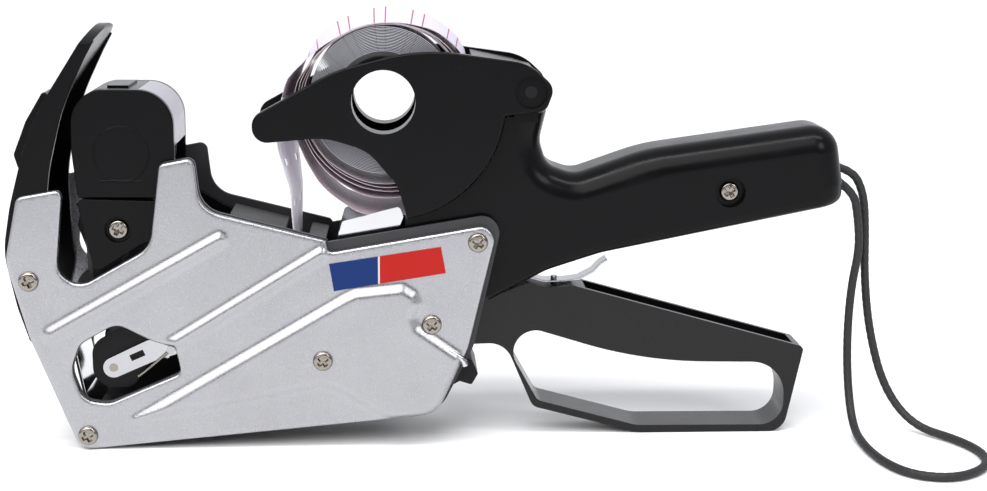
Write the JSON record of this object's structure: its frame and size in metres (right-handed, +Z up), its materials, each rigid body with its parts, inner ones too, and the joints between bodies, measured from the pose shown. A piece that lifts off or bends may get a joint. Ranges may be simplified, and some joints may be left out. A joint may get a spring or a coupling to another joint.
{
  "type": "price labeling gun",
  "caption": "Hand-held price labeling gun with squeeze trigger, swinging print head, inker, label roll holder and wrist strap.",
  "frame": {"origin": "bottom centre of the gun's box without its strap, on the surface it stands on", "axes": "+Z up, +X from the nose towards the handle, +Y towards the side with the setting knob"},
  "size_m": [0.2783, 0.0796, 0.1251],
  "materials": {
    "sheet_aluminium": "satin blasted pressed sheet",
    "frame_plastic": "dark grey moulded",
    "black_plastic": "glossy black moulded",
    "black_matte": "fine matte black",
    "nickel": "nickel plated",
    "steel": "bright ground",
    "chrome_sheet": "bright plated sheet",
    "spring_steel": "polished strip",
    "badge_enamel": "two plain colour fields",
    "lavender_plastic": "pale grey-lavender",
    "grey_plastic": "light grey moulded",
    "band_rubber": "ribbed black",
    "ink_foam": "inked foam",
    "roller_rubber": "smooth",
    "label_paper": "coated label stock",
    "core_card": "wound card",
    "strap_braid": "braided cord"
  },
  "bodies": {
    "frame": {"side_plate_left": "sheet_aluminium", "side_plate_right": "sheet_aluminium", "inner_frame_left": "frame_plastic", "inner_frame_right": "frame_plastic", "front_guard": "black_plastic", "guard_screw_left": "nickel", "guard_screw_right": "nickel", "pivot_screw": "nickel", "feed_screw": "nickel", "nose_screw": "nickel", "handle_front_screw": "nickel", "pivot_sleeve": "steel", "feed_sleeve": "steel", "ink_arm_pin": "steel", "cover_hinge_pin": "steel", "handle_shell_left": "black_plastic", "handle_shell_right": "black_plastic", "handle_screw": "nickel", "roll_hinge_pin": "black_matte", "strap_pin": "black_matte", "wrist_strap": "strap_braid", "badge": "badge_enamel", "platen": "chrome_sheet", "label_chute": "chrome_sheet", "label_guide": "chrome_sheet", "top_cover_front": "black_matte", "top_cover_rear": "black_matte", "label_tape": "label_paper"},
    "trigger": {"trigger_grip": "black_plastic", "leaf_spring": "spring_steel", "leaf_rivet": "steel", "lever_arm_left": "black_plastic", "lever_arm_right": "black_plastic", "lever_cross_bar": "steel", "head_screw_left": "nickel", "head_screw_right": "nickel", "head_cheek_left": "black_plastic", "head_cheek_right": "black_plastic", "head_cover": "black_plastic", "index_window": "lavender_plastic", "digit_bands": "band_rubber", "band_wheel": "grey_plastic", "type_bar": "black_matte"},
    "knob_slide": {"knob_bushing": "grey_plastic"},
    "knob": {"adjusting_knob": "black_plastic"},
    "ink_arm": {"ink_arm": "spring_steel", "ink_housing": "black_matte", "ink_roller_pin": "nickel"},
    "ink_roller": {"ink_roller": "ink_foam"},
    "feed_wheel": {"feed_wheel": "grey_plastic"},
    "applicator_roller": {"applicator_roller": "roller_rubber"},
    "bottom_cover": {"bottom_cover": "black_matte", "pressure_pin": "steel", "cover_release_tab": "black_matte"},
    "pressure_roller": {"pressure_roller": "roller_rubber"},
    "roll_holder": {"roll_arm_left": "black_plastic", "roll_arm_right": "black_plastic", "roll_bridge": "black_plastic"},
    "label_roll": {"roll_core": "core_card", "label_roll": "label_paper"}
  },
  "joints": [
    {"name": "trigger_pivot", "type": "hinge", "parent": "frame", "child": "trigger", "pos_m": [-0.0001, -0.0022, 0.0363], "axis": [0, -1, 0], "range_deg": [0, 19], "stiffness_Nm_per_rad": 1, "springref_deg": -28.65},
    {"name": "knob_pull", "type": "slide", "parent": "trigger", "child": "knob_slide", "axis": [0, 1, 0], "range_m": [0, 0.004]},
    {"name": "knob_turn", "type": "hinge", "parent": "knob_slide", "child": "knob", "pos_m": [-0.0871, -0.0022, 0.085], "axis": [0, 1, 0], "continuous": true},
    {"name": "ink_arm_swing", "type": "hinge", "parent": "frame", "child": "ink_arm", "pos_m": [-0.0746, -0.0022, 0.0289], "axis": [0, -1, 0], "range_deg": [0, 57]},
    {"name": "ink_roller_turn", "type": "hinge", "parent": "ink_arm", "child": "ink_roller", "pos_m": [-0.0917, -0.0022, 0.0226], "axis": [0, 1, 0], "continuous": true},
    {"name": "feed_wheel_turn", "type": "hinge", "parent": "frame", "child": "feed_wheel", "pos_m": [-0.0312, -0.0022, 0.0262], "axis": [0, 1, 0], "continuous": true},
    {"name": "applicator_roller_turn", "type": "hinge", "parent": "frame", "child": "applicator_roller", "pos_m": [-0.0986, -0.0022, 0.0042], "axis": [0, 1, 0], "continuous": true},
    {"name": "bottom_cover_hinge", "type": "hinge", "parent": "frame", "child": "bottom_cover", "pos_m": [-0.0878, -0.0022, 0.0034], "axis": [0, 1, 0], "range_deg": [0, 75]},
    {"name": "pressure_roller_turn", "type": "hinge", "parent": "bottom_cover", "child": "pressure_roller", "pos_m": [-0.0312, -0.0022, 0.0146], "axis": [0, 1, 0], "continuous": true},
    {"name": "roll_holder_hinge", "type": "hinge", "parent": "frame", "child": "roll_holder", "pos_m": [0.0279, -0.0022, 0.1027], "axis": [0, 1, 0], "range_deg": [0, 75]},
    {"name": "label_roll_turn", "type": "hinge", "parent": "roll_holder", "child": "label_roll", "pos_m": [-0.0136, -0.0022, 0.0999], "axis": [0, 1, 0], "continuous": true}
  ],
  "couplings": [
    {"joint": "ink_arm_swing", "follows": "trigger_pivot", "ratio": 3}
  ]
}
